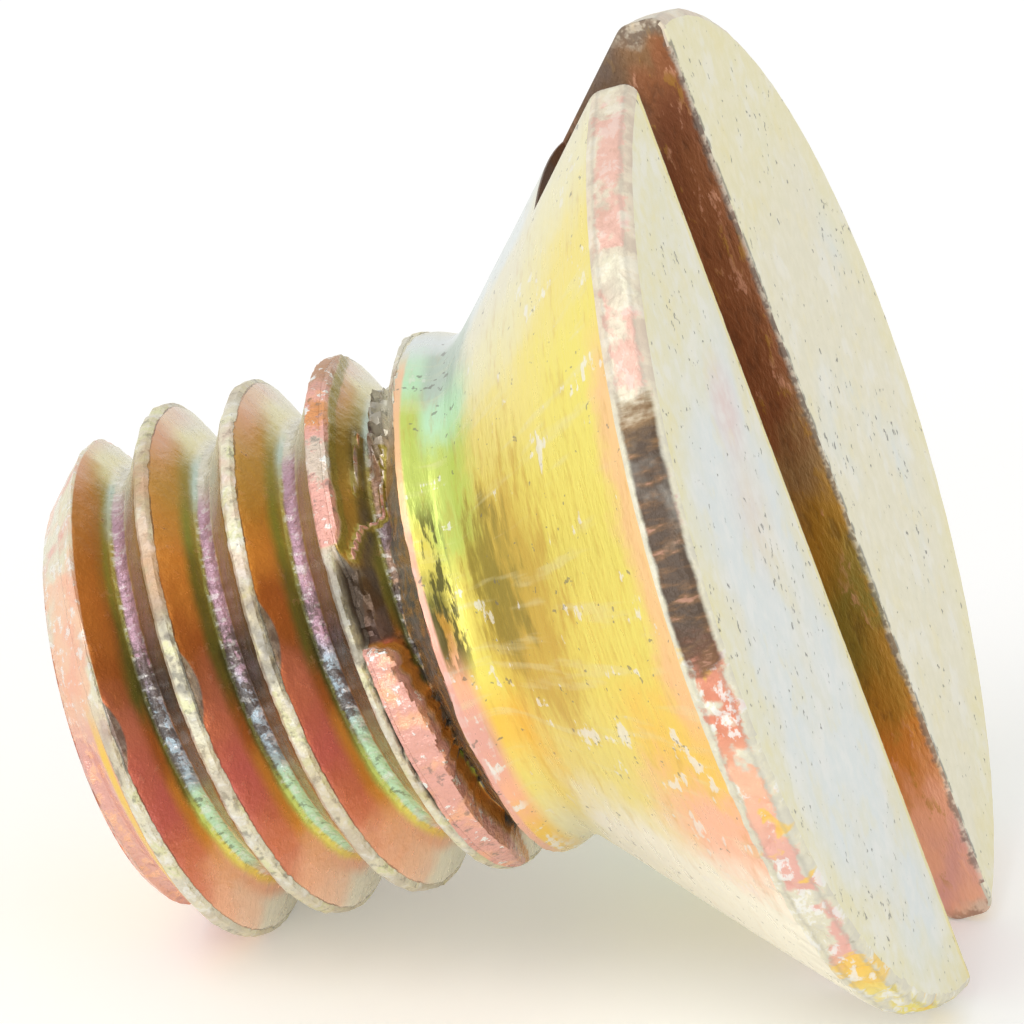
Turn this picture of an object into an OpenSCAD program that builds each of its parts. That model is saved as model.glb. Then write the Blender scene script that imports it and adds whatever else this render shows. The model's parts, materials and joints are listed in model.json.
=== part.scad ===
// Slotted countersunk machine screw, one solid piece of steel.
// It lies on its side: the rim of the head and one thread crest touch the floor,
// and the slot stands upright, so that its two lower corners are the feet.

/* [Head] */
// Diameter across the rim of the head
head_diameter = 11.15; // [10.6:0.05:11.8]
// Height of the rim, from the slotted face to where the countersunk seat begins
rim_height = 0.47; // [0.36:0.01:0.8]
// Rounding between the slotted face and the rim
face_rounding = 0.16; // [0.06:0.01:0.18]
// Rounding between the rim and the countersunk seat
seat_rounding = 0.22; // [0.1:0.01:0.4]
// Full angle of the countersunk seat
seat_angle = 90; // [86:1:94]

/* [Slot] */
// Width of the driver slot
slot_width = 1.88; // [1.5:0.02:2.4]
// Depth of the driver slot below the face
slot_depth = 1.5; // [1.1:0.05:1.9]

/* [Shank] */
// Length from the slotted face to the tip
overall_length = 8.1; // [7.6:0.1:16]
// Diameter of the plain neck under the head
neck_diameter = 5.6; // [5.2:0.02:5.7]
// Fillet between the seat and the neck
neck_fillet = 0.5; // [0.3:0.05:1.0]
// Length of the plain neck past the end of the fillet
neck_length = 0.14; // [0.02:0.01:0.6]
// Angle of the ramp from the neck up to the first thread crest
neck_ramp_angle = 60; // [35:1:75]
// Width of the collar between the ramp and the wall where the groove ends
collar_width = 0.06; // [0.04:0.01:0.15]

/* [Thread] */
// Diameter over the thread crests
thread_diameter = 5.9; // [5.8:0.01:6.1]
// Distance from one crest to the next
thread_pitch = 1.0; // [0.9:0.05:1.05]
// Angle between the two flanks of the groove
thread_angle = 60; // [58:1:62]
// Width of the flat on the crest
crest_width = 0.15; // [0.12:0.01:0.2]
// Radius in the root of the groove
root_radius = 0.144; // [0.11:0.002:0.16]
// Turn of the thread about the axis, measured from the upper end of the slot
thread_turn = 248; // [0:1:359]

/* [Tip] */
// Diameter of the flat end of the tip
tip_diameter = 4.66; // [4.4:0.02:5.0]
// Angle of the chamfer at the tip, measured from the axis
tip_angle = 45; // [40:1:55]

/* [Output] */
// Which node to draw

/* [Hidden] */

steel = [0.80, 0.71, 0.45];
round_fn = 96;

head_radius = head_diameter / 2;
thread_radius = thread_diameter / 2;
neck_radius = neck_diameter / 2;
tip_radius = tip_diameter / 2;
slot_half = slot_width / 2;

// Seat: a cone whose side leans by half the seat angle from the axis
seat_lean = seat_angle / 2;
seat_turn = 90 - seat_lean;
rim_tangent = seat_rounding * tan(seat_lean / 2);
rim_centre = [head_radius - seat_rounding, rim_height - rim_tangent];
neck_start = rim_height + (head_radius - neck_radius) / tan(seat_lean);
fillet_tangent = neck_fillet * tan(seat_lean / 2);
fillet_centre = [neck_radius + neck_fillet, neck_start + fillet_tangent];
thread_start = neck_start + fillet_tangent + neck_length;
ramp_length = (thread_radius - neck_radius) / tan(neck_ramp_angle);
crest_start = thread_start + ramp_length;
groove_end = crest_start + collar_width;
chamfer_length = (thread_radius - tip_radius) / tan(tip_angle);
chamfer_start = overall_length - chamfer_length;

// Groove of the thread: two straight flanks that run tangent into a round root
flank_lean = thread_angle / 2;
groove_half = (thread_pitch - crest_width) / 2;
sharp_depth = groove_half / tan(flank_lean);
root_centre = thread_radius - sharp_depth + root_radius / sin(flank_lean);
groove_rise = 0.05;
groove_open = groove_half + groove_rise * tan(flank_lean);
root_steps = 4;
steps_per_turn = 40;

// Where crest edges lie along the axis, for an angle about the axis from the slot
function crest_edge(a, n) = thread_pitch * (n + (a + thread_turn) / 360);

first_turn = floor(thread_start / thread_pitch);
last_turn = ceil((overall_length + groove_half + groove_open) / thread_pitch);
groove_steps = (last_turn - first_turn) * steps_per_turn;

groove_outline = [
    [thread_radius + groove_rise, groove_open],
    for (i = [0 : root_steps])
        let (t = (90 - flank_lean) * (1 - 2 * i / root_steps))
        [root_centre - root_radius * cos(t), root_radius * sin(t)],
    [thread_radius + groove_rise, -groove_open]
];
outline_count = len(groove_outline);

// Rest pose: the floor line touches the rim at the slot mouth and the last full crest
foot_radius = sqrt(pow(rim_centre[0], 2) - pow(slot_half, 2));
foot_angle = 180;
foot_crest = crest_edge(foot_angle, floor((chamfer_start - crest_width)
    / thread_pitch - (foot_angle + thread_turn) / 360)) + crest_width;
foot_run = foot_crest - rim_centre[1];
foot_drop = foot_radius - thread_radius;
foot_reach = sqrt(pow(foot_run, 2) + pow(foot_drop, 2));
rest_tilt = atan(foot_drop / foot_run) + asin(seat_rounding / foot_reach);
rest_height = thread_radius * cos(rest_tilt) + foot_crest * sin(rest_tilt);
face_radius = head_radius - face_rounding;
front_reach = sin(rest_tilt) * sqrt(pow(face_radius, 2) - pow(slot_half, 2))
    - cos(rest_tilt) * face_rounding + face_rounding;
back_reach = sin(rest_tilt) * tip_radius + cos(rest_tilt) * overall_length;

// Half section of the head without the neck fillet
module head_section() {
    polygon([
        [0, 0],
        [face_radius, 0],
        [head_radius, face_rounding],
        [head_radius, rim_centre[1]],
        [rim_centre[0] + seat_rounding * cos(seat_turn),
         rim_centre[1] + seat_rounding * sin(seat_turn)],
        [neck_radius, neck_start],
        [0, neck_start]
    ]);
    translate([face_radius, face_rounding]) circle(r = face_rounding, $fn = round_fn);
    translate(rim_centre) circle(r = seat_rounding, $fn = round_fn);
}

// Triangle that fills the corner between seat and neck, less the round of the fillet
module fillet_section() {
    difference() {
        polygon([
            [neck_radius / 2, neck_start - fillet_tangent],
            [neck_radius + fillet_tangent * sin(seat_lean),
             neck_start - fillet_tangent * cos(seat_lean)],
            [neck_radius, neck_start + fillet_tangent],
            [neck_radius / 2, neck_start + fillet_tangent]
        ]);
        translate(fillet_centre) circle(r = neck_fillet, $fn = round_fn);
    }
}

module shank_section() {
    polygon([
        [0, neck_start - fillet_tangent],
        [neck_radius, neck_start - fillet_tangent],
        [neck_radius, thread_start],
        [thread_radius, crest_start],
        [thread_radius, chamfer_start],
        [tip_radius, overall_length],
        [0, overall_length]
    ]);
}

module blank() {
    rotate_extrude($fn = round_fn) {
        head_section();
        fillet_section();
        shank_section();
    }
}

// One helical groove, swept as rings of the same outline, closed at both ends
module groove_sweep() {
    rings = [
        for (s = [0 : groove_steps])
            let (a = 360 * s / steps_per_turn - thread_turn,
                 z = thread_pitch * (first_turn + s / steps_per_turn) - groove_half)
            for (p = groove_outline) [p[0] * cos(a), p[0] * sin(a), z + p[1]]
    ];
    n = outline_count;
    last = groove_steps * n;
    skin = [
        for (s = [0 : groove_steps - 1], i = [0 : n - 1])
            let (j = (i + 1) % n, a = s * n, b = a + n)
            each [[a + i, b + j, b + i], [a + i, a + j, b + j]]
    ];
    start_cap = [for (i = [n - 1 : -1 : 0]) i];
    end_cap = [for (i = [0 : n - 1]) last + i];
    polyhedron(points = rings, faces = concat(skin, [start_cap, end_cap]), convexity = 12);
}

// The thread is rolled up to the neck, so its groove ends on a slanted wall there
module thread_zone() {
    outside = thread_radius + 0.5;
    rotate_extrude($fn = round_fn)
        polygon([
            [0, groove_end + thread_radius * tan(flank_lean)],
            [outside, groove_end - 0.5 * tan(flank_lean)],
            [outside, overall_length + 1],
            [0, overall_length + 1]
        ]);
}

module driver_slot() {
    translate([-head_radius - 1, -slot_half, -1])
        cube([2 * head_radius + 2, slot_width, slot_depth + 1]);
}

module screw_upright() {
    difference() {
        blank();
        intersection() {
            groove_sweep();
            thread_zone();
        }
        driver_slot();
    }
}

module screw() {
    color(steel)
        translate([(back_reach - front_reach) / 2, 0, rest_height])
            rotate([0, -90 - rest_tilt, 0])
                screw_upright();
}

screw();
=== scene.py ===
"""Slotted countersunk machine screw with a worn yellow plating, lying on its side."""

import json
import math

import bmesh
import bpy
from bpy.props import FloatProperty, FloatVectorProperty, PointerProperty
from mathutils import Euler, Matrix, Vector, noise


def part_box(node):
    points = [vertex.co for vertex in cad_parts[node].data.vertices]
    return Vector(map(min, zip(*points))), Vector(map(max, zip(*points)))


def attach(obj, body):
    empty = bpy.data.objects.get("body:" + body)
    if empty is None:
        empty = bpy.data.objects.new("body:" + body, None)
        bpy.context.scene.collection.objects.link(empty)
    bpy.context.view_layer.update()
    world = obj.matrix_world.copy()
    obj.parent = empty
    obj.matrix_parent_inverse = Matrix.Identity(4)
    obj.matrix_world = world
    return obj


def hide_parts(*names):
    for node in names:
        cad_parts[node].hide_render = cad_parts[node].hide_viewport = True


bl_info = {
    "name": "Plated machine screw",
    "version": (1, 0, 0),
    "blender": (4, 5, 0),
    "location": "3D View > Sidebar > Screw",
    "description": "Builds a worn, yellow plated countersunk screw with its studio",
    "category": "Object",
}

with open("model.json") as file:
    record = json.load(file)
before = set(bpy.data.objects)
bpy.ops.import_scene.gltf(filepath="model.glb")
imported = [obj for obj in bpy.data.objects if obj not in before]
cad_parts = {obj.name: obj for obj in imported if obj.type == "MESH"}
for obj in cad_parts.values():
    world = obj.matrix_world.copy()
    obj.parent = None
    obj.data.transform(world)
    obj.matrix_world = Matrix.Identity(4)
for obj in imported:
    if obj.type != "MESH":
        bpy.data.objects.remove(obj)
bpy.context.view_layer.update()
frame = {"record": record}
CAD_LOW, CAD_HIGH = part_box("screw")

MM = 0.001
TURN = 2 * math.pi

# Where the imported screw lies: its face mount gives the axis, its rim mount the centre
MOUNTS = {mount["name"]: mount for mount in frame["record"]["mounts"]}
FACE_NORMAL = Vector(MOUNTS["slotted_face"]["axis"])
RIM_POINT = Vector(MOUNTS["head_rim"]["pos_m"])
RIM_LAND_MIDDLE = 0.2694 * MM
FACE_CENTRE = RIM_POINT + FACE_NORMAL * RIM_LAND_MIDDLE
TILT = math.atan2(FACE_NORMAL.z, FACE_NORMAL.x)
LIE_DOWN = Matrix.Rotation(-math.pi / 2 - TILT, 4, "Y")

# Patterns are laid out round the axis from the side that the camera sees
FRONT_ANGLE = math.radians(-69.775)
PATTERN_TURN = LIE_DOWN @ Matrix.Rotation(FRONT_ANGLE, 4, "Z")

# Angles of the thread's flanks, of its slanted first wall and of the seat
FLANK_ANGLE = math.radians(30)
WALL_ANGLE = math.radians(60)
SEAT_DEGREES = 45

# Small forms in millimetres: rounding of the crests' edges, from the wall to the end
# of the groove, from there to the ledge, and from the rim in to the head's first ring
CREST_ROUND = 0.03
GROOVE_MARGIN = 0.06
LEDGE_STEP = 0.02
FACE_RING = 0.95

# Grids of the head and the thread: columns round the axis, cuts of each, and turns
HEAD_STEPS, HEAD_CUTS = 90, 8
THREAD_STEPS, THREAD_CUTS, THREAD_TURNS = 50, 6, 7
SLOT_COLUMN = math.radians(14)
COLUMN_FADE = math.radians(4)
MOUTH_CUTS = 140
SHARP_ANGLE = math.radians(38)
EPS = 1e-3

# Thin torn strips in the last groove: points are degrees from the front and height,
# then the strip's thickness; DEGREE is the length of a degree along the shank
SLIVERS = (
    (((16, 4.42), (24, 4.32), (27, 4.10), (35, 4.11), (42, 3.98)), 0.030),
    (((34, 4.345), (54, 4.350)), 0.022),
)
DEGREE = math.radians(1) * 2.8

# Lens shaped dents in front, on the crests' edge towards the head: their middle in
# degrees is DENT_START - DENT_CLIMB * height
DENT_START, DENT_CLIMB, DENT_HALF, DENT_DEPTH = 36.4, 6.0, 9.5, 0.10

# The camera of the photo, in millimetres and degrees
CAMERA_PLACE = 18.517, -117.4, 56.99
CAMERA_TURN = 66.3625, -0.0848, 9.0302
CAMERA_LENS, CAMERA_SENSOR = 421.875, 36.0
CAMERA_NEAR, CAMERA_FAR = 0.01, 20.0

# Soft lamps in metres: setting for the power, place and width
LAMPS = (
    ("key", (-0.12, -0.12, 0.22), 0.16),
    ("fill", (0.2, -0.12, 0.1), 0.14),
    ("low", (-0.06, -0.22, 0.035), 0.16),
)
LAMP_AIM = 0.0, 0.0, 0.005
FLOOR_RADIUS = 1.5
FLOOR_GLOW = 0.16
WHITE = 1.0, 1.0, 1.0, 1.0

# Sizes in millimetres, along and across the screw's axis
SIZES = (
    (
        "head_diameter",
        (CAD_HIGH.y - CAD_LOW.y) / MM,
        "Diameter across the rim of the head",
    ),
    ("rim_height", 0.47, "From the face to where the seat begins"),
    ("face_rounding", 0.16, "Rounding between face and rim"),
    ("seat_rounding", 0.22, "Rounding between rim and seat"),
    ("slot_width", 1.88, "Width of the driver slot"),
    ("slot_depth", 1.5, "Depth of the driver slot"),
    ("slot_edge", 0.05, "Worn rounding along the mouth of the slot"),
    ("overall_length", 8.1, "From the face to the tip"),
    ("neck_diameter", 5.6, "Diameter of the neck under the head"),
    ("neck_fillet", 0.5, "Rounding between seat and neck"),
    ("neck_length", 0.14, "Plain neck past the fillet"),
    ("thread_diameter", 5.9, "Diameter over the crests"),
    ("thread_pitch", 1.0, "From one crest to the next"),
    ("crest_width", 0.15, "Width of the flat on the crest"),
    ("root_radius", 0.144, "Radius in the root of the groove"),
    ("tip_diameter", 4.66, "Diameter of the flat end of the tip"),
)

# Colours of the plating as sRGB codes
PALETTE = (
    ("cream", "E6E0C4", "Thin pale plating on the face and the rim"),
    ("cool_white", "DEE4E1", "Palest plating, a little blue"),
    ("lemon", "EFE06A", "Clear yellow plating"),
    ("amber", "F6CB55", "Deep yellow plating"),
    ("peach", "FBBC98", "Plating between yellow and pink"),
    ("pink", "E9AEA0", "Pink plating"),
    ("salmon", "DE8262", "Thick red plating on the thread"),
    ("rust", "B96A30", "Orange brown plating on the thread"),
    ("ochre", "C29238", "Golden plating on the thread"),
    ("bronze", "AE8A5A", "Brown flanks that face the tip"),
    ("straw", "EAE2B2", "Pale yellow between cream and butter"),
    ("butter", "EFDD7C", "Soft yellow on the seat"),
    ("orange", "E09640", "Clear orange beside the root"),
    ("brick", "DA746A", "Deep pink red on the flanks in front"),
    ("chestnut", "A0663F", "Middle red brown in the slot"),
    ("walnut", "906A44", "Dark brown flanks that face the tip"),
    # This grey also paints shade deep in the slot and in the thread's hollows, and the
    # dark reflection in the roots in front.
    ("slate", "5E544E", "Dark grey scale in the root"),
    ("smoke", "9C988E", "Light grey dirt"),
    ("olive", "77702C", "Dull green brown patches"),
    ("moss", "4C491E", "Darkest green line beside the root"),
    ("lime", "C6D46A", "Yellow green bands"),
    ("mint", "C2E8C0", "Pale green bands"),
    ("steel_blue", "A9BCC6", "Blue grey bands"),
    # Where ivory and shell stand low in front on the seat and the thread, they are
    # painted light: paler for the light that falls on the underside.
    ("ivory", "F7F1DC", "Palest yellow, low on the seat in front"),
    ("shell", "FFD2B4", "Palest pink, low on the thread in front"),
    ("sage", "B7C6B6", "Grey green band at the top of the neck"),
    ("old_gold", "A08E3E", "Dull gold between orange and green"),
    ("leaf", "93973A", "Yellow green beside the root of the thread"),
    ("violet", "B893A2", "Purple bands in the root of the thread"),
    # This dark brown also paints the dark reflection on the rim and the roots in front,
    # and shade in hollows.
    ("stain", "503F30", "Dark brown stain on the rim and in the neck"),
    ("copper", "8E5636", "Red brown plating in the slot"),
    ("bare", "D8D3C0", "Rubbed grey white metal on edges"),
    ("chalk", "F1F0EA", "White powder and fine scratches"),
    # This grey also paints the dark reflection on the crests in front.
    ("soot", "77736A", "Grey dirt on rubbed crests"),
)


def tone(code):
    """Linear colour of a six digit sRGB code."""
    parts = [int(code[i : i + 2], 16) / 255 for i in (0, 2, 4)]
    return tuple(
        c / 12.92 if c <= 0.04045 else ((c + 0.055) / 1.055) ** 2.4 for c in parts
    )


def label(key):
    """Name in the sidebar, such as "Slot width" for slot_width."""
    return key.replace("_", " ").capitalize()


def size(key, value, text):
    """A length in metres for the sidebar, given in millimetres."""
    return FloatProperty(
        name=label(key),
        description=text,
        default=value * MM,
        unit="LENGTH",
        subtype="DISTANCE",
        precision=5,
    )


def colour(key, code, text):
    """A colour for the sidebar."""
    return FloatVectorProperty(
        name=label(key),
        description=text,
        default=tone(code),
        size=3,
        min=0.0,
        max=1.0,
        subtype="COLOR",
    )


def power(name, value, text):
    """The power of a lamp for the sidebar."""
    return FloatProperty(
        name=name, description=text, default=value, min=0.0, unit="POWER"
    )


class ScrewSizes(bpy.types.PropertyGroup):
    """Sizes of the screw, measured along and across its axis."""

    __annotations__ = {row[0]: size(*row) for row in SIZES}
    __annotations__["thread_turn"] = FloatProperty(
        name="Thread turn",
        description="Turn of the thread about the axis, from the slot's upper end",
        default=math.radians(248),
        subtype="ANGLE",
    )
    __annotations__["wear"] = FloatProperty(
        name="Wear",
        description="How deep the chips, dents and ripples are",
        default=1.0,
        min=0.0,
        max=1.5,
        subtype="FACTOR",
    )


class ScrewColours(bpy.types.PropertyGroup):
    """Colours of the plating where it is thin, thick, rubbed off or stained; some also
    serve as painted light, shade and reflection.
    """

    __annotations__ = {row[0]: colour(*row) for row in PALETTE}


class StageLook(bpy.types.PropertyGroup):
    """The plain studio round the screw."""

    floor: colour("floor", "FAFAF9", "Colour of the floor and the backdrop")
    sky: FloatProperty(
        name="Sky",
        description="Strength of the even light from all round",
        default=0.72,
        min=0.0,
    )
    key: power("Key lamp", 0.15, "Power of the large soft lamp above")
    fill: power("Fill lamp", 0.06, "Power of the soft lamp at the side")
    low: power(
        "Low lamp", 0.18, "Power of the soft lamp in front, just above the floor"
    )


class Shape:
    """Sizes in millimetres, and where the parts of the screw meet along its axis."""

    def __init__(self, sizes):
        mm = {row[0]: getattr(sizes, row[0]) / MM for row in SIZES}
        self.head = mm["head_diameter"] / 2
        self.face_round, self.seat_round = mm["face_rounding"], mm["seat_rounding"]
        self.slot, self.slot_depth = mm["slot_width"] / 2, mm["slot_depth"]
        self.slot_edge, self.length = mm["slot_edge"], mm["overall_length"]
        self.neck, self.fillet = mm["neck_diameter"] / 2, mm["neck_fillet"]
        self.thread, self.pitch = mm["thread_diameter"] / 2, mm["thread_pitch"]
        self.crest, self.root = mm["crest_width"], mm["root_radius"]
        self.tip = mm["tip_diameter"] / 2
        self.turn, self.wear = sizes.thread_turn, sizes.wear
        half_lean = math.tan(math.pi / 8)
        self.rim_top = mm["rim_height"] - self.seat_round * half_lean
        self.neck_start = mm["rim_height"] + self.head - self.neck
        self.fillet_reach = self.fillet * half_lean
        self.ramp_start = self.neck_start + self.fillet_reach + mm["neck_length"]
        self.ramp = (self.thread - self.neck) / math.tan(WALL_ANGLE)
        self.groove_end = self.ramp_start + self.ramp + GROOVE_MARGIN
        self.ledge = self.groove_end + LEDGE_STEP
        self.groove_half = (self.pitch - self.crest) / 2
        self.flank = math.tan(FLANK_ANGLE)
        self.root_centre = (
            self.thread
            - self.groove_half / self.flank
            + self.root / math.sin(FLANK_ANGLE)
        )

    def phase(self, angle, z):
        """How far a point is past the last crest edge, as a share of the pitch."""
        return z / self.pitch - (angle + self.turn) / TURN

    def groove(self, share):
        """Radius of the thread at a share of the pitch past the crest edge."""
        across = abs(share * self.pitch - self.crest - self.groove_half)
        if across >= self.groove_half:
            edge = min(share * self.pitch, self.crest - share * self.pitch)
            return self.thread - CREST_ROUND * max(0.0, 1 - edge / CREST_ROUND) ** 2
        if across <= self.root * math.cos(FLANK_ANGLE):
            return self.root_centre - math.sqrt(self.root**2 - across**2)
        sunk = (self.groove_half - across) / self.flank
        return self.thread - CREST_ROUND - sunk * 0.95


def smooth(low, high, value):
    """0 below low, 1 above high, and an even curve between them."""
    if low == high:
        return float(value >= high)
    t = min(max((value - low) / (high - low), 0.0), 1.0)
    return t * t * (3 - 2 * t)


def window(value, start, full, fade, end):
    """0 up to start, 1 from full to fade, and 0 again past end."""
    return smooth(start, full, value) * (1 - smooth(fade, end, value))


def bump_at(value, middle, width):
    """A round hill of height 1 over a middle value."""
    return math.exp(-(((value - middle) / width) ** 2))


def grain(x, y, z):
    """Smooth noise from about -1 to 1."""
    return noise.noise(Vector((x, y, z)), noise_basis="PERLIN_ORIGINAL")


def polar(point):
    """Radius, angle from the slot's upper end, and height of a point."""
    return math.hypot(point.x, point.y), math.atan2(point.y, point.x), point.z


def set_polar(vert, radius, angle, z):
    vert.co = (radius * math.cos(angle), radius * math.sin(angle), z)


def from_front(angle):
    """Degrees round the axis from the side that the camera sees."""
    return math.degrees(math.remainder(angle - FRONT_ANGLE, TURN))


def edges_where(bm, test):
    """The edges whose ends both pass a test of their place."""
    return [e for e in bm.edges if all(test(v.co) for v in e.verts)]


def spin_skin(bm, points, steps, cuts, turns=1, rise=0.0):
    """Spins a line of points (radius, height), then divides the strips evenly."""
    verts = [bm.verts.new((r, 0.0, z)) for r, z in points]
    edges = [bm.edges.new(pair) for pair in zip(verts, verts[1:])]
    bmesh.ops.spin(
        bm,
        geom=verts + edges,
        cent=(0, 0, 0),
        axis=(0, 0, 1),
        dvec=(0, 0, rise / steps),
        angle=TURN * turns,
        steps=steps * turns,
        use_merge=turns == 1 and rise == 0.0,
        use_normal_flip=False,
        use_duplicate=False,
    )
    wide = TURN / steps
    across = []
    for e in bm.edges:
        start, end = (polar(v.co)[1] for v in e.verts)
        if abs(math.remainder(start - end, TURN)) > wide / 2:
            across.append(e)
    bmesh.ops.subdivide_edges(bm, edges=across, cuts=cuts - 1, use_grid_fill=True)
    # The new points lie on chords, so each is pushed out to its circle
    for v in bm.verts:
        r, a, z = polar(v.co)
        middle = math.remainder(a - wide / 2, wide)
        r *= math.cos(middle) / math.cos(wide / 2)
        a = wide / cuts * round(a * cuts / wide)
        set_polar(v, r, a, z)
    bmesh.ops.remove_doubles(bm, verts=bm.verts, dist=EPS)


def arc(centre, radius, angles):
    """Points (radius, height) of the outline on an arc, at angles in degrees."""
    x, z = centre
    turns = [math.radians(angle) for angle in angles]
    return [(x + radius * math.cos(t), z + radius * math.sin(t)) for t in turns]


def slope(start, end, count):
    """Points of the outline down the seat's slope, as far as the height end."""
    x, z = start
    heights = [z + (end - z) * (i + 1) / count for i in range(count)]
    return [(x - (height - z), height) for height in heights]


def head_line(s):
    """Half outline of the head, from the ring on its face down to the neck."""
    points = [(s.head - inset, 0.0) for inset in (FACE_RING, 0.6, 0.36, 0.23)]
    corner = s.head - s.face_round, s.face_round
    points += arc(corner, s.face_round, [18 * i - 90 for i in range(6)])
    land = s.rim_top - s.face_round
    points += [(s.head, s.face_round + land * i / 7) for i in range(1, 7)]
    corner = s.head - s.seat_round, s.rim_top
    points += arc(corner, s.seat_round, [SEAT_DEGREES * i / 4 for i in range(5)])
    points += slope(points[-1], s.slot_depth, 8)
    end = s.neck_start - s.fillet_reach * math.cos(math.radians(SEAT_DEGREES))
    points += slope(points[-1], end, 9)
    corner = s.neck + s.fillet, s.neck_start + s.fillet_reach
    points += arc(corner, -s.fillet, [SEAT_DEGREES * (1 - i / 6) for i in range(1, 7)])
    points.append((s.neck, s.ramp_start - 0.04))
    return points


def slot_shift(s, radius, angle, z):
    """Moves the grid columns near the slot, so that one runs along its wall."""
    side = 0.0 if abs(angle) < math.pi / 2 else math.pi
    off = math.remainder(angle - side, TURN)
    wall = math.asin(s.slot / radius) - SLOT_COLUMN
    fade = 1 - smooth(s.slot_depth, s.slot_depth + 0.7, z)
    if abs(off) < SLOT_COLUMN:
        off += fade * wall * off / SLOT_COLUMN
    else:
        away = math.exp(-(abs(off) - SLOT_COLUMN) / COLUMN_FADE)
        off += fade * wall * away * math.copysign(1, off)
    return side + off


def cut_slot(bm, s):
    """Opens the driver slot and fills its two walls, its floor and the two faces."""

    def in_slot(co):
        return abs(co.y) < s.slot + EPS and co.z < s.slot_depth + EPS

    def on_face(co):
        return co.z < EPS and co.xy.length < s.head - FACE_RING + 0.02

    def at_foot(co):
        return co.z > s.slot_depth - EPS

    def fill(edges, name):
        faces = bmesh.ops.contextual_create(bm, geom=edges)["faces"]
        assert faces, f"the slot's {name} didn't close"

    inside = [face for face in bm.faces if all(in_slot(v.co) for v in face.verts)]
    bmesh.ops.delete(bm, geom=inside, context="FACES")
    beside = [v for v in bm.verts if abs(abs(v.co.y) - s.slot) < EPS and in_slot(v.co)]
    lips = []
    for side in (1, -1):
        wall = [v for v in beside if v.co.y * side > 0]
        lips.append(bm.edges.new([v for v in wall if on_face(v.co)]))
        bm.edges.new([v for v in wall if at_foot(v.co)])
    bmesh.ops.subdivide_edges(bm, edges=lips, cuts=MOUTH_CUTS)
    mouth = []
    for side in (1, -1):
        half = edges_where(bm, lambda co: on_face(co) and co.y * side > s.slot - EPS)
        wall = edges_where(
            bm, lambda co: abs(co.y - side * s.slot) < EPS and in_slot(co)
        )
        fill(half, "half of the face")
        fill(wall, "wall")
        mouth += [e for e in wall if not all(at_foot(v.co) for v in e.verts)]
    feet = edges_where(bm, lambda co: in_slot(co) and at_foot(co))
    feet = [e for e in feet if e.is_boundary]
    fill(feet, "floor")
    bmesh.ops.recalc_face_normals(bm, faces=bm.faces)
    bmesh.ops.bevel(
        bm,
        geom=mouth + feet,
        offset=s.slot_edge,
        offset_type="OFFSET",
        segments=3,
        profile=0.5,
        affect="EDGES",
        material=-1,
        clamp_overlap=True,
    )
    # The mouth's bevelled edges are frayed within the face and the walls
    edge = s.slot_edge + EPS
    for v in bm.verts:
        x, y, z = v.co
        beside = abs(abs(y) - s.slot)
        if abs(x) > s.head - 0.25 or z > edge or beside > edge:
            continue
        fray = 0.5 + 0.5 * grain(x * 5, y, 3) + 0.4 * grain(x * 14, y, 8)
        v.co.y += math.copysign(s.wear * 0.03 * fray * beside / s.slot_edge, y)
        v.co.z += s.wear * 0.03 * fray * z / s.slot_edge


def head_skin(bm, s):
    """The head and neck, spun round the axis and slotted."""
    spin_skin(bm, head_line(s), HEAD_STEPS, HEAD_CUTS)
    for v in bm.verts:
        r, a, z = polar(v.co)
        set_polar(v, r, slot_shift(s, r, a, z), z)
    cut_slot(bm, s)


def neck_radius(s, z):
    """The neck swells a little before the ledge where the thread was rolled."""
    low = s.ramp_start - 0.26
    return s.neck + 0.11 * smooth(low, s.groove_end - 0.02, z)


def lap_width(deg):
    """How far the last crest is folded over towards the neck, in millimetres."""
    low = window(deg, -96, -66, -7, -3)
    low *= 0.25 + 0.08 * bump_at(deg, -26, 12)
    return low + window(deg, 13, 24, 70, 105) * 0.07


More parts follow.
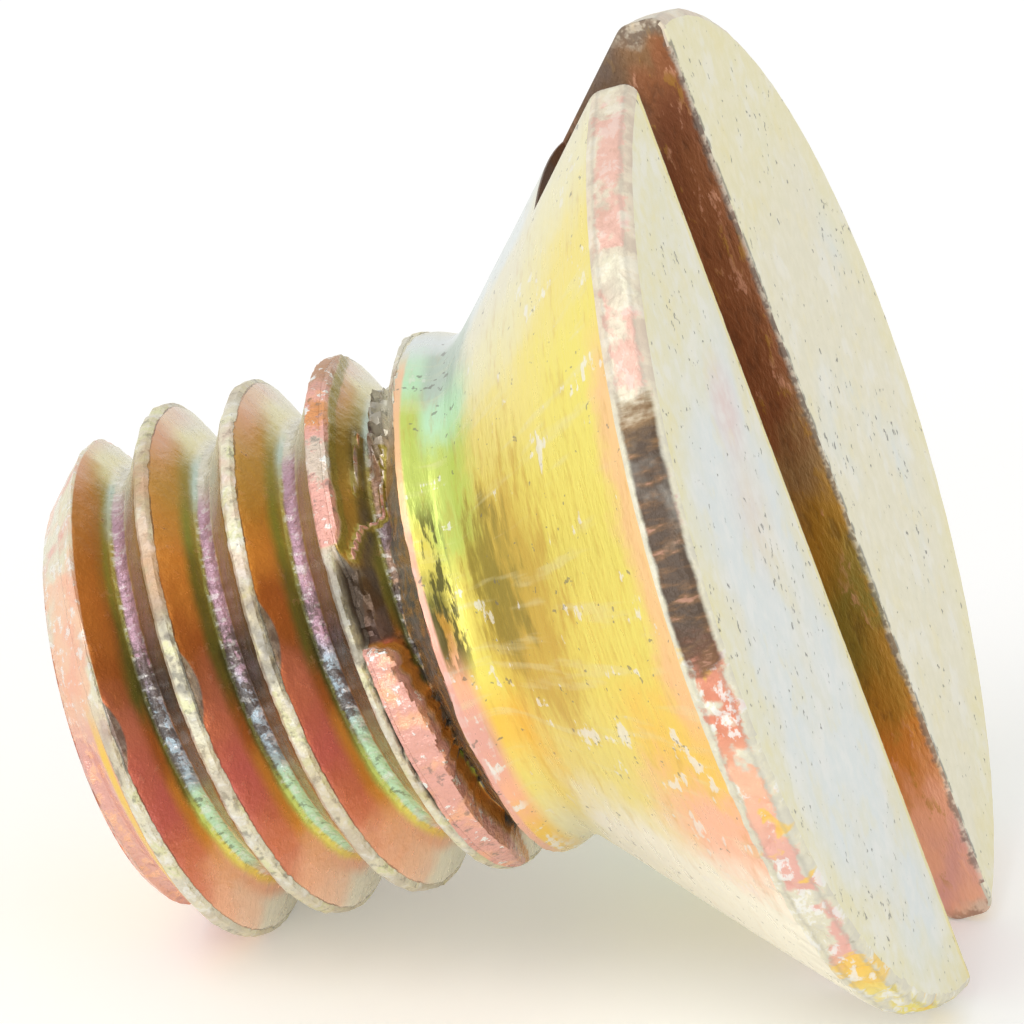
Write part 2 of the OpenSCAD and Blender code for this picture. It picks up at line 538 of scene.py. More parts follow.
def torn(s, radius, turns, deg, z, fine):
    """The folded crest beside the neck, with its crack, gap, dirt and slivers, and
    painted shade in the crack, the gap and the valley beside the fold.
    """
    off = (turns - 4.0) * s.pitch
    front = smooth(-60, -40, deg)
    lump = grain(deg * 0.32, 9.1, z * 3) * front
    reach = lap_width(deg)
    wide = reach * (1 + 0.12 * fine * front + 0.28 * lump)
    lapped = shade_and_dirt = 0.0
    if wide > 0.01 and -wide - 0.15 < off < s.crest + 0.02:
        flat = smooth(-wide - 0.07, -wide + 0.01, off)
        top = s.thread - 0.025 - 0.02 * smooth(0, -0.3, off) + 0.02 * (fine + lump)
        if top > radius:
            radius += (top - radius) * flat
        lapped = flat * smooth(0.0, 0.06, wide)
        if deg < 0:
            lapped *= 1 - smooth(0.03, 0.06, off)
    crack = window(deg, -60, -48, -8, -5)
    crack *= bump_at(off, 0.055 + 0.03 * fine, 0.016)
    radius -= 0.07 * crack
    shade_and_dirt = max(shade_and_dirt, 0.8 * crack)
    gap = window(deg, -5.5, -2.5, 11, 19)
    if gap > 0 and -0.4 < off < 0.12:
        low = 2.66 + 0.07 * fine
        gap *= window(off, -0.30, -0.22, 0.02, 0.06 + 0.03 * fine)
        radius += (min(radius, low) - radius) * gap
        lapped *= 1 - gap
        shade_and_dirt = max(shade_and_dirt, gap)
    dirt = window(deg, 38, 44, 62, 69)
    dirt *= window(z, 3.76, 3.82, 4.12, 4.24)
    dirt *= smooth(-0.5, 0.1, fine)
    if dirt > 0:
        radius = max(radius, radius + (2.72 + 0.1 * fine - radius) * dirt)
        shade_and_dirt = max(shade_and_dirt, dirt * 0.55)
    for path, thick in SLIVERS:
        near = min(segment_gap((deg, z), *ends) for ends in zip(path, path[1:]))
        rise = math.exp(-((near / thick) ** 2))
        radius += 0.09 * rise
        lapped = max(lapped, rise)
        shade_and_dirt *= 1 - rise
    # Painted shade: the valley beside the fold is darkened, with no change to its
    # surface
    valley_shade = bump_at(off, -reach - 0.2, 0.07) * smooth(-80, -60, deg)
    valley_shade *= 1 - smooth(50, 66, deg)
    valley_shade *= 0.35 + 0.35 * smooth(-14, 0, deg)
    return radius, lapped, max(shade_and_dirt, valley_shade * (1 - lapped))


def front_dent(deg, z, share):
    """How far inside a front dent a point is, 0 to 1."""
    middle = DENT_START - DENT_CLIMB * z
    reach = DENT_DEPTH * (1 - ((deg - middle) / DENT_HALF) ** 2)
    return smooth(0.0, 0.05, reach - (1 - share)) if share > 0.5 and reach > 0 else 0.0


def segment_gap(spot, start, end):
    """Distance on the shank from a spot to a line between two points."""
    p, a, b = (Vector((deg * DEGREE, z)) for deg, z in (spot, start, end))
    along = b - a
    t = min(max((p - a).dot(along) / along.length_squared, 0.0), 1.0)
    return (p - a - along * t).length


def thread_radius(s, angle, z):
    """Radius of the threaded shank, and the marks for its plating and painted shade
    there.
    """
    deg = from_front(angle)
    x, y = s.thread * math.cos(angle), s.thread * math.sin(angle)
    lay = grain(x * 2.3, y * 2.3, z * 2.3)
    fine = grain(x * 9, y * 9, z * 9 + 40)
    grit = grain(x * 21, y * 21, z * 12)
    # Crest edges wander a little
    shift = s.wear * (0.014 * lay + 0.008 * fine)
    share = (s.phase(angle, z) + shift) % 1.0
    radius = s.groove(share)
    worn = smooth(s.thread - 0.075, s.thread - 0.02, radius)
    root = 1 - smooth(2.38, 2.48, radius)
    nick = smooth(0.38, 0.75, grain(x * 1.7 + 9, y * 1.7, z * 1.1))
    ripple = abs(grain(x * 10, y * 10, z * 2.2))
    radius += s.wear * root * (0.034 * ripple + 0.008 * grit)
    radius -= s.wear * worn * (0.014 + 0.014 * lay + 0.012 * fine + 0.07 * nick)
    radius -= s.wear * 0.002 * (1 + grit)
    dent = front_dent(deg, z, share)
    radius += (min(radius, s.thread - 0.09) - radius) * dent * s.wear
    lapped = shade_and_dirt = ledge = 0.0
    turns = z / s.pitch - (deg + math.degrees(s.turn + FRONT_ANGLE)) / 360
    if 3.3 < turns < 4.25 and -110 < deg < 110:
        radius, lapped, shade_and_dirt = torn(s, radius, turns, deg, z, fine)
    if z <= s.ledge + 1e-4:
        radius = neck_radius(s, z) + 0.008 * fine
        worn = lapped = shade_and_dirt = 0.0
    else:
        wall = neck_radius(s, z) - (z - s.ledge) / s.flank * (1 + 0.2 * lay)
        if wall + 0.012 * grit > radius:
            radius = wall + 0.012 * grit
            worn, lapped, shade_and_dirt, ledge = 0.0, 0.0, shade_and_dirt * 0.5, 1.0
        radius = min(radius, s.thread - 0.012 * abs(fine))
    chamfer = s.tip + (s.length - z) + s.wear * (0.02 * lay + 0.012 * fine - 0.02)
    edge = smooth(-0.05, 0.05, radius - chamfer)
    if edge > 0:
        radius = radius + (chamfer - 0.012 - radius) * edge
    return radius, (worn, lapped, ledge, shade_and_dirt)


def thread_skin(bm, s):
    """The threaded shank: one pitch of outline, spun up the helix and cut to length."""
    rows = 6, 8, 10, 9
    stops = 0.0, s.crest, 0.45 * s.pitch, 0.70 * s.pitch, s.pitch
    start = s.pitch * (1 + s.turn / TURN)
    heights = [start]
    for count, low, high in zip(rows, stops, stops[1:]):
        heights += [start + low + (high - low) * (i + 1) / count for i in range(count)]
    points = [(s.thread, z) for z in heights]
    spin_skin(bm, points, THREAD_STEPS, THREAD_CUTS, THREAD_TURNS, s.pitch)
    cuts = (
        (s.ramp_start - 0.02, "below"),
        (s.length, "above"),
        (s.ledge, "nothing"),
        (s.ledge + 0.05, "nothing"),
    )
    for height, cleared in cuts:
        bmesh.ops.bisect_plane(
            bm,
            geom=bm.verts[:] + bm.edges[:] + bm.faces[:],
            dist=1e-4,
            plane_co=(0, 0, height),
            plane_no=(0, 0, 1),
            clear_outer=cleared == "above",
            clear_inner=cleared == "below",
        )
    bmesh.ops.remove_doubles(bm, verts=bm.verts, dist=0.004)


class Net:
    """The nodes of a material or a world. Each helper hands back an output socket."""

    def __init__(self, owner):
        owner.use_nodes = True
        self.owner = owner
        self.nodes = owner.node_tree.nodes
        self.links = owner.node_tree.links
        self.nodes.clear()

    def add(self, kind, inputs=None, out=0, **settings):
        """A node of this kind, with sockets or plain values as its inputs."""
        node = self.nodes.new("ShaderNode" + kind)
        for key, value in settings.items():
            setattr(node, key, value)
        for key, value in (inputs or {}).items():
            if isinstance(value, bpy.types.NodeSocket):
                self.links.new(value, node.inputs[key])
            else:
                node.inputs[key].default_value = value
        return node.outputs[out] if node.outputs else node

    def math(self, operation, first, *others):
        """Works through the values from the left, two at a time."""
        for other in others or (0.0,):
            first = self.add("Math", {0: first, 1: other}, operation=operation)
        return first

    def times(self, first, *others):
        return self.math("MULTIPLY", first, *others) if others else first

    def plus(self, *values):
        return self.math("ADD", *values)

    def minus(self, first, second):
        return self.math("SUBTRACT", first, second)

    def vectors(self, operation, first, second=(0.0, 0.0, 0.0), out=0):
        inputs = {0: first, 1: second}
        return self.add("VectorMath", inputs, out=out, operation=operation)

    def paint(self, value):
        socket = isinstance(value, bpy.types.NodeSocket)
        return value if socket else (*value[:3], 1.0)

    def mix(self, factor, a, b):
        inputs = {0: factor, 6: self.paint(a), 7: self.paint(b)}
        return self.add("Mix", inputs, out=2, data_type="RGBA")

    def coat(self, under, tint, *shares):
        """A tint over what is under it, as strong as the product of the shares."""
        return self.mix(self.times(*shares), under, tint)

    def ramp(self, value, stops, reach=180.0):
        """Ramp of colours or greys over values from -reach to reach."""
        factor = self.add("MapRange", {0: value, 1: -reach, 2: reach, 3: 0.0, 4: 1.0})
        node = self.add("ValToRGB", {0: factor}).node
        node.color_ramp.interpolation = "EASE"
        elements = node.color_ramp.elements
        while len(elements) < len(stops):
            elements.new(0.5)
        for element, (place, _) in zip(elements, stops):
            element.position = (place + reach) / (2 * reach)
        for element, (_, value) in zip(elements, stops):
            grey = isinstance(value, (int, float))
            element.color = (value, value, value, 1) if grey else (*value[:3], 1)
        return node.outputs[0]

    def step(self, value, low, high):
        """0 below low, 1 above high, smooth between them; low may be the larger."""
        ends = {1: high, 2: low, 3: 1.0, 4: 0.0} if low > high else {1: low, 2: high}
        inputs = {0: value, **ends}
        return self.add("MapRange", inputs, interpolation_type="SMOOTHSTEP")

    def band(self, value, low, high, soft):
        """1 from low to high, fading out over a soft edge on both sides."""
        up = self.step(value, low - soft, low + soft)
        return self.times(up, self.step(value, high + soft, high - soft))

    def noise(self, vector, scale, detail=2.0, rough=0.5, warp=0.0):
        keys = "Vector", "Scale", "Detail", "Roughness", "Distortion"
        values = vector, scale, detail, rough, warp
        return self.add("TexNoise", dict(zip(keys, values)))

    def vector(self, x, y, z):
        return self.add("CombineXYZ", {0: x, 1: y, 2: z})

    def spot(self):
        """Where a surface point is, in millimetres and degrees from the front."""
        place = {
            "Vector": self.add("TexCoord", out=3),
            "Location": FACE_CENTRE,
            "Rotation": PATTERN_TURN.to_euler("XYZ"),
            "Scale": (MM, MM, MM),
        }
        self.point = self.add("Mapping", place, vector_type="TEXTURE")
        split = self.add("SeparateXYZ", {0: self.point}).node
        x, y, self.z = split.outputs
        self.angle = self.times(self.math("ARCTAN2", y, x), math.degrees(1))
        # Along the slot, across it and down into it
        east, north = math.cos(FRONT_ANGLE), math.sin(FRONT_ANGLE)
        self.along = self.vectors("DOT_PRODUCT", self.point, (east, -north, 0.0), 1)
        self.across = self.vectors("DOT_PRODUCT", self.point, (north, east, 0.0), 1)
        self.laid = self.vector(self.along, self.across, self.z)
        flat = self.vector(x, y, 0.0)
        self.radius = self.vectors("LENGTH", flat, out=1)
        self.heading = self.vectors("NORMALIZE", flat)
        return self

    def headed(self, round_axis, up_axis):
        """A vector that follows the way round the axis, and the height a little."""
        low = self.vectors("MULTIPLY", self.heading, (round_axis, round_axis, 0.0))
        high = self.vector(0.0, 0.0, self.times(self.z, up_axis))
        return self.vectors("ADD", low, high)

    def centred(self, value):
        """Noise from 0 to 1, moved to -0.5 to 0.5."""
        return self.minus(value, 0.5)

    def shift(self, value, wave, amount):
        """value, shifted to and fro by a noise from 0 to 1."""
        return self.plus(value, self.times(self.centred(wave), amount * 2))

    def between(self, factor, low, high):
        """low where factor is 0 and high where it is 1."""
        return self.add("MapRange", {0: factor, 1: 0.0, 2: 1.0, 3: low, 4: high})

    def spot_mask(self, along, across, reach, wave):
        """Soft round spot on the slotted face, along and across the slot."""
        far = self.vectors("DISTANCE", self.laid, (along, across, 0.0), 1)
        return self.step(self.shift(far, wave, 0.25), reach, 0.0)

    def finish(self, base, rough, height, metallic, depth):
        """Principled surface with bump, wired to the material's output."""
        bump = {"Strength": 1.0, "Distance": depth * MM, "Height": height}
        surface = {
            "Base Color": base,
            "Metallic": metallic,
            "Roughness": rough,
            "Normal": self.add("Bump", bump),
            "Coat Weight": 0.0,
            "Coat Roughness": 0.2,
        }
        self.add("OutputMaterial", {0: self.add("BsdfPrincipled", surface)})
        return self.owner


def plating(name):
    """A new material for a part of the screw, ready for its pattern."""
    return Net(bpy.data.materials.new(name)).spot()


def tints(colours, text):
    """Pairs of place and colour, from text such as "-20 pink, 15 lemon"."""
    pairs = [pair.split() for pair in text.split(",")]
    return [(float(place), getattr(colours, name)) for place, name in pairs]


def face_plating(c):
    """Pale plating on the slotted face: cream, blue grey in front, with dark pits."""
    net = plating("face_plating")
    cloud = net.noise(net.point, 0.6, 3.0, 0.5)
    fine = net.noise(net.point, 5.0, 3.0, 0.6)
    across = net.shift(net.across, cloud, 0.7)
    # Far half cream, near half blue grey, with straw edges
    base = net.mix(net.step(cloud, 0.5, 0.8), c.cream, c.cool_white)
    blue = net.mix(net.step(cloud, 0.42, 0.8), c.cool_white, c.cream)
    near_half = net.step(across, -0.5, -1.5)
    base = net.mix(near_half, base, blue)
    upper = net.step(net.shift(net.along, cloud, 1.2), 1.8, 3.4)
    base = net.coat(base, c.straw, upper, 0.7)
    base = net.coat(base, c.straw, net.band(across, -1.35, 0.4, 0.35), 0.7)
    edge = net.step(net.shift(net.radius, cloud, 0.6), 4.5, 5.4)
    base = net.coat(base, c.straw, edge, 0.8)
    for along, side, reach, share in ((2.1, -2.15, 0.8, 0.45), (1.1, -2.6, 1.1, 0.2)):
        glow = net.spot_mask(along, side, reach, cloud)
        base = net.coat(base, c.pink, glow, share)
    patches = net.noise(net.point, 1.4, 3.0, 0.6)
    base = net.coat(base, c.chalk, net.step(patches, 0.52, 0.64), 0.4)
    base = net.coat(base, c.butter, net.step(patches, 0.46, 0.34), 0.18)
    powder = net.mix(near_half, c.ivory, c.chalk)
    base = net.coat(base, powder, net.step(fine, 0.34, 0.7), 0.38)
    longer = net.vectors("MULTIPLY", net.point, (1.0, 0.8, 1.0))
    grit = net.shift(net.noise(longer, 8.0, 2.0, 0.7), cloud, 0.14)
    marks = net.step(grit, 0.665, 0.715)
    base = net.coat(base, c.soot, marks, 0.75)
    # Along the mouth: a yellow line in front, a painted highlight on the near edge, and
    # grey dirt beside both edges
    side = net.shift(net.across, fine, 0.06)
    base = net.coat(base, c.butter, net.band(side, -1.09, -0.98, 0.02), 0.6)
    dirt = net.band(net.math("ABSOLUTE", side), 0.9, 1.005, 0.02)
    base = net.coat(base, c.soot, dirt, net.step(fine, 0.6, 0.45), 0.75)
    height = net.minus(net.times(fine, 0.5), marks)
    return net.finish(base, net.plus(net.times(fine, 0.3), 0.28), height, 0.15, 0.02)


def slot_plating(c):
    """Red brown plating in the slot, golden and pink towards its lower end."""
    net = plating("slot_plating")
    taller = net.vectors("MULTIPLY", net.laid, (0.8, 0.8, 1.6))
    patch = net.noise(taller, 1.5, 3.0, 0.55)
    streaky = net.vectors("MULTIPLY", net.laid, (0.8, 1.0, 2.2))
    streaks = net.noise(streaky, 3.8, 4.0, 0.65)
    along = net.shift(net.along, patch, 0.9)
    along = net.plus(along, net.times(net.step(net.z, 0.1, 1.0), 0.9))
    stops = """-5.5 peach, -4.8 pink, -4.0 peach, -3.3 orange, -2.5 ochre,
        -1.5 old_gold, -0.4 ochre, 0.4 bronze, 1.2 chestnut, 3.2 chestnut,
        4.4 copper, 5.0 chestnut, 5.5 walnut"""
    base = net.ramp(along, tints(c, stops), reach=5.6)
    middle = net.band(net.along, -3.4, 5.0, 0.5)
    base = net.coat(base, c.stain, net.step(streaks, 0.47, 0.33), middle, 0.3)
    gold = net.times(net.step(streaks, 0.56, 0.62), net.step(net.z, 1.4, 0.4))
    base = net.coat(base, c.ochre, gold, net.step(patch, 0.42, 0.58), 0.55)
    glint = net.times(net.step(streaks, 0.57, 0.66), net.step(patch, 0.55, 0.42))
    base = net.coat(base, c.peach, glint, 0.5)
    # Bare, frayed metal along the mouth and round the open ends
    grit = net.noise(net.laid, 9.0, 2.0, 0.6)
    frayed = net.shift(net.shift(net.z, grit, 0.07), patch, 0.05)
    outer = net.shift(net.radius, patch, 0.3)
    ends = net.times(net.step(outer, 5.3, 5.5), 0.8)
    lip = net.math("MAXIMUM", net.step(frayed, 0.08, 0.02), ends)
    worn = net.mix(net.step(grit, 0.42, 0.6), c.soot, c.bare)
    base = net.coat(base, worn, lip, 0.75)
    # Painted shade, grey green and brown, deep in the upper end
    inner = net.times(net.step(net.z, 0.35, 0.8), net.step(net.along, 3.5, 4.3))
    end_shade = net.mix(net.step(patch, 0.42, 0.6), c.stain, c.slate)
    base = net.coat(base, end_shade, inner, net.between(patch, 0.5, 1.2), 0.8)
    rough = net.plus(net.times(streaks, 0.4), 0.22)
    return net.finish(base, rough, streaks, 0.35, 0.022)


def rim_plating(c):
    """Chipped cream and pink plating round the rim, with a dark reflection painted in
    front.
    """
    net = plating("rim_plating")
    patch = net.noise(net.headed(5.6, 1.0), 1.3, 4.0, 0.6, 0.15)
    crust = net.noise(net.headed(5.6, 1.6), 3.0, 4.0, 0.65, 0.15)
    hair = net.noise(net.headed(5.6, 0.4), 7.0, 3.0, 0.6)
    stops = """-180 lemon, -150 peach, -110 amber, -80 lemon, -70 butter, -62 amber,
        -56 pink, -40 pink, -28 peach, -20 salmon, 20 pink, 60 pink, 76 bare,
        95 bare, 130 pink, 180 lemon"""
    side = net.ramp(net.angle, tints(c, stops))
    lower = net.step(net.angle, 0, -20)
    base = net.mix(net.step(crust, 0.36, 0.6), c.bare, c.cream)
    upper = net.times(net.step(net.angle, 10, 24), net.step(patch, 0.3, 0.6))
    base = net.coat(base, c.pink, upper, 0.2)
    core = net.band(net.shift(net.z, crust, 0.22), 0.08, 0.40, 0.03)
    tinted = net.step(net.plus(patch, net.times(lower, 0.07)), 0.49, 0.55)
    base = net.coat(base, side, tinted, core, net.between(lower, 0.7, 0.92))
    base = net.coat(base, c.amber, net.step(patch, 0.58, 0.62), lower, 0.8)
    white = net.step(net.shift(crust, hair, 0.12), 0.54, 0.60)
    base = net.coat(base, c.chalk, white, net.between(lower, 0.25, 0.75))
    brownish = net.times(net.step(net.angle, 5, 30), net.step(crust, 0.52, 0.40))
    base = net.coat(base, c.bronze, brownish, 0.18)
    # Grey lines where the rim meets the face and the seat
    level = net.shift(net.z, hair, 0.03)
    low, high = net.band(level, 0.09, 0.12, 0.03), net.band(level, 0.40, 0.43, 0.03)
    base = net.coat(base, c.smoke, net.math("MAXIMUM", low, high), 0.4)
    # Painted reflection: the land in front is darkened brown where it would mirror the
    # dark side behind the camera, smoky in its upper half
    ragged = net.shift(net.shift(net.angle, hair, 5.0), patch, 3.0)
    land = net.band(net.shift(net.z, crust, 0.05), 0.06, 0.44, 0.03)
    brown = net.mix(net.step(hair, 0.45, 0.75), c.stain, c.walnut)
    smoky = net.band(ragged, 1, 11, 4.0)
    brown = net.coat(brown, c.smoke, smoky, net.step(patch, 0.42, 0.6), 0.6)
    brown = net.coat(brown, c.bronze, net.step(ragged, 9, 15), 0.55)
    brown = net.coat(brown, c.copper, net.step(ragged, -9, -14), 0.5)
    brown = net.coat(brown, c.pink, net.step(hair, 0.6, 0.7), 0.3)
    base = net.coat(base, brown, net.band(ragged, -14, 15, 2.0), land)
    base = net.coat(base, c.soot, net.band(net.angle, 64, 70, 2.0), 0.5)
    return net.finish(base, net.plus(net.times(hair, 0.4), 0.22), crust, 0.2, 0.04)


def seat_plating(c):
    """Yellow plating on the countersunk seat and the neck, with bands of colour."""
    net = plating("seat_plating")
    blot = net.noise(net.point, 1.9, 4.0, 0.6)
    flatter = net.vectors("MULTIPLY", net.point, (0.7, 0.7, 4.0))
    lines = net.noise(flatter, 2.4, 4.0, 0.65)
    sweep = net.noise(net.headed(6.0, 0.3), 3.2, 3.0, 0.55)
    angle = net.shift(net.shift(net.angle, blot, 7.0), lines, 4.5)

    def around(stops):
        """Colours round the axis, with the same ones behind."""
        rear = "-180 lemon, -150 mint, -122 butter, -100 cream"
        back = "76 cool_white, 100 cream, 128 butter, 155 peach, 180 lemon"
        return net.ramp(angle, tints(c, f"{rear}, {stops}, {back}"))

    # The ivory stops low in front, here and in the next ramp, are painted light: paler
    # for the light that falls on the underside
    by_rim = around(
        """-66 ivory, -50 ivory, -36 peach, -24 amber, -10 lemon, 10 lemon, 24 lemon,
        38 butter, 50 straw, 62 cream"""
    )
    middle = around(
        """-66 ivory, -50 ivory, -34 butter, -14 lemon, 12 lemon, 28 butter, 42 straw,
        54 cream, 64 cool_white"""
    )
    by_neck = around(
        """-66 straw, -46 butter, -30 amber, -14 lemon, 2 lemon, 14 lime, 30 lime,
        42 mint, 54 sage, 66 sage, 76 cool_white"""
    )
    by_ledge = around(
        """-66 amber, -48 peach, -32 pink, -16 peach, -6 ochre, 0 olive, 10 lemon,
        22 lime, 44 lime, 58 mint"""
    )
    level = net.shift(net.z, blot, 0.25)
    base = net.mix(net.step(level, 1.1, 2.0), by_rim, middle)
    base = net.mix(net.step(level, 2.65, 3.05), base, by_neck)
    base = net.mix(net.step(net.z, 3.4, 3.56), base, by_ledge)

    def patch_at(middle, half, height, reach):
        """Grows from 0 in the middle of a patch to 1 along its round outline."""
        far = net.math("DIVIDE", net.minus(angle, middle), half)
        high = net.math("DIVIDE", net.minus(level, height), reach)
        return net.plus(net.math("POWER", far, 2.0), net.math("POWER", high, 2.0))

    # Dull gold patch in front towards the neck, olive in its middle and streaky
    wide = net.shift(patch_at(-2.0, 27.0, 2.55, 0.75), lines, 1.3)
    patch = net.step(wide, 1.2, 0.2)
    base = net.coat(base, c.ochre, patch, 0.62)
    tight = net.shift(patch_at(1.0, 17.0, 2.78, 0.42), lines, 1.8)
    base = net.coat(base, c.olive, net.step(tight, 1.3, 0.0), 0.62)
    # Peach line beside the rim, yellow and pale sweeps over the cone
    rosy = net.times(net.band(net.angle, -22, 24, 6.0), net.step(level, 0.92, 0.6))
    base = net.coat(base, c.peach, rosy, 0.65)
    front = net.between(net.band(net.angle, -42, 48, 12.0), 0.5, 1.0)
    base = net.coat(base, c.ochre, net.step(lines, 0.54, 0.7), front, 0.28)
    base = net.coat(base, c.straw, net.step(sweep, 0.55, 0.68), front, 0.28)
    flakes = net.shift(net.shift(blot, sweep, 0.2), lines, 0.35)
    base = net.coat(base, c.chalk, net.step(flakes, 0.65, 0.69), front, 0.65)
    # Dirt and pink scale beside the ledge
    wide, high = net.band(net.angle, -13, 21, 5.0), net.band(net.z, 3.38, 3.70, 0.05)
    base = net.coat(base, c.moss, wide, high, net.step(lines, 0.46, 0.54), 0.9)
    low = net.times(net.step(net.angle, -12, -20), net.step(net.z, 3.5, 3.62))
    crumbs = net.step(net.shift(lines, sweep, 0.3), 0.54, 0.6)
    base = net.coat(base, c.chalk, low, crumbs, 0.75)
    edge = net.times(net.step(net.z, 3.66, 3.70), net.band(net.angle, -80, 66, 8.0))
    rosy = net.mix(net.step(net.angle, 15, 25), c.pink, c.peach)
    base = net.coat(base, rosy, edge, 0.8)
    # Dark specks, more of them at the top of the neck
    top = net.times(net.band(net.angle, 42, 66, 5.0), net.band(net.z, 3.1, 3.6, 0.1))
    grit = net.plus(net.noise(net.point, 7.0, 2.0, 0.7), net.times(top, 0.09))
    specks = net.step(net.shift(grit, blot, 0.1), 0.68, 0.72)
    base = net.coat(base, c.soot, specks, 0.65)
    rough = net.plus(net.times(lines, 0.3), 0.16, net.times(patch, 0.15))
    return net.finish(base, rough, lines, 0.4, 0.016)


def thread_plating(c, s):
    """Thick plating on the thread: red flanks, violet roots, rubbed crests."""
    net = plating("thread_plating")
    lead = math.degrees(s.turn + FRONT_ANGLE)
    turned = net.math("DIVIDE", net.plus(net.angle, lead), 360.0)
    turns = net.minus(net.math("DIVIDE", net.z, s.pitch), turned)
    share = net.math("FRACT", turns)
    blush = net.noise(net.point, 1.1, 3.0)
    mottle = net.noise(net.point, 6.0, 4.0, 0.65)
    coarse = net.noise(net.point, 2.0, 3.0, 0.6)
    angle = net.shift(net.angle, blush, 17.0)
    ragged = net.shift(share, coarse, 0.025)

    def around(behind, left, right, stops):
        """Colours round the axis: behind, low on the left, right, and in front."""
        rear = f"-180 {behind}, -142 {left}, -112 cream"
        back = f"112 cream, 145 {right}, 180 {behind}"
        return net.ramp(angle, tints(c, f"{rear}, {stops}, {back}"))

    shaded = around(
        "walnut",
        "bronze",
        "straw",
        """-80 cream, -58 straw, -40 bronze, -18 walnut, 0 stain, 16 walnut,
        34 bronze, 58 bare, 78 cream""",
    )
    root = around(
        "violet",
        "mint",
        "violet",
        """-80 peach, -64 mint, -34 mint, -22 steel_blue, -6 steel_blue, 4 violet,
        16 violet, 48 violet, 62 bare, 78 bare""",
    )
    line = around(
        "olive",
        "old_gold",
        "lime",
        """-80 amber, -62 lemon, -44 lime, -26 olive, -4 moss, 14 olive,
        40 old_gold, 60 sage, 78 cream""",
    )
    beside = around(
        "ochre",
        "orange",
        "butter",
        """-84 peach, -62 peach, -46 orange, -26 orange, -14 rust, 2 olive,
        18 olive, 34 leaf, 56 old_gold, 82 straw""",
    )
    # The ivory and shell stops low in front are painted light: paler for the light that
    # falls on the underside
    facing = around(
        "salmon",
        "rust",
        "peach",
        """-90 ivory, -76 shell, -60 peach, -44 salmon, -26 brick, -8 salmon, 6 rust,
        24 orange, 46 ochre, 66 ochre, 80 straw, 90 cream""",
    )
    # Across one pitch: shaded flank, root, green line, orange band, facing flank
    first = net.mix(net.step(coarse, 0.4, 0.6), c.slate, c.bronze)
    root = net.coat(root, first, net.step(turns, 3.98, 3.9), 0.75)
    base = net.mix(net.step(ragged, 0.46, 0.50), shaded, root)
    base = net.mix(net.step(ragged, 0.615, 0.65), base, line)
    base = net.mix(net.step(ragged, 0.67, 0.73), base, beside)
    base = net.mix(net.step(ragged, 0.73, 0.82), base, facing)
    # Redder towards the tip, golden towards the head, pink at the upper edge
    upper = net.times(net.band(net.angle, 6, 62, 9.0), net.step(share, 0.70, 0.76))
    base = net.coat(base, c.rust, upper, net.step(net.z, 6.3, 7.1), 0.6)
    base = net.coat(base, c.old_gold, upper, net.step(net.z, 5.5, 4.1), 0.8)
    rosy = net.times(net.step(share, 0.78, 0.92), net.band(net.angle, 58, 95, 10.0))
    base = net.coat(base, c.pink, rosy, 0.5)
    base = net.coat(base, c.peach, net.step(mottle, 0.6, 0.72), 0.18)
    # Root scale, cracked across into small plates; in front the root and its plates are
    # darkened, a painted dark reflection of the camera's side
    plates = net.noise(net.headed(26.0, 7.0), 1.0, 3.0, 0.6)
    within = net.band(share, 0.47, 0.66, 0.02)
    dark = net.times(net.band(net.angle, -26, 12, 8.0), net.step(mottle, 0.56, 0.48))
    base = net.coat(base, c.slate, dark, within, 0.9)
    greys = (-74, 0.1), (-50, 0.5), (4, 0.6), (22, 0.35), (70, 0.1)
    strength = net.ramp(net.angle, greys)
    base = net.coat(base, c.chalk, net.step(plates, 0.52, 0.64), within, 0.4)
    base = net.coat(base, c.stain, net.step(plates, 0.43, 0.36), within, strength)
    # Marks from the mesh: rubbed crest, folded crest, ledge wall, and painted shade
    # with dirt in hollows
    marks = net.add("Attribute", attribute_name="marks")
    rubbed, lapped, ledge = net.add("SeparateColor", {0: marks}).node.outputs
    shade_and_dirt = net.add("Attribute", out=3, attribute_name="marks")
    frayed = net.shift(rubbed, mottle, 0.35)
    worn = net.step(frayed, 0.42, 0.52)
    outline = net.times(net.band(frayed, 0.22, 0.40, 0.08), net.step(mottle, 0.3, 0.5))
    broken = net.between(net.step(coarse, 0.44, 0.58), 0.15, 0.85)
    base = net.coat(base, c.stain, outline, broken)
    crest = net.mix(net.step(coarse, 0.42, 0.56), c.bare, c.cream)
    crest = net.coat(crest, c.lime, net.band(coarse, 0.58, 0.64, 0.02), 0.25)
    crest = net.coat(crest, c.chalk, net.step(mottle, 0.52, 0.64), 0.6)
    crest = net.coat(crest, c.soot, net.step(mottle, 0.46, 0.34), 0.6)
    tan = net.between(net.band(net.angle, 12, 60, 10.0), 0.25, 0.7)
    crest = net.coat(crest, c.bronze, net.step(blush, 0.58, 0.4), tan)
    blushed = net.band(net.angle, 12, 60, 12.0)
    crest = net.coat(crest, c.peach, blushed, net.step(coarse, 0.55, 0.42), 0.25)
    # Painted reflection: crests in front are greyed in patches where they would mirror
    # the dark side behind the camera
    crest_reflection = net.band(net.angle, -8, 16, 7.0)
    crest = net.coat(crest, c.soot, crest_reflection, net.step(coarse, 0.62, 0.45), 0.65)
    base = net.mix(worn, base, crest)
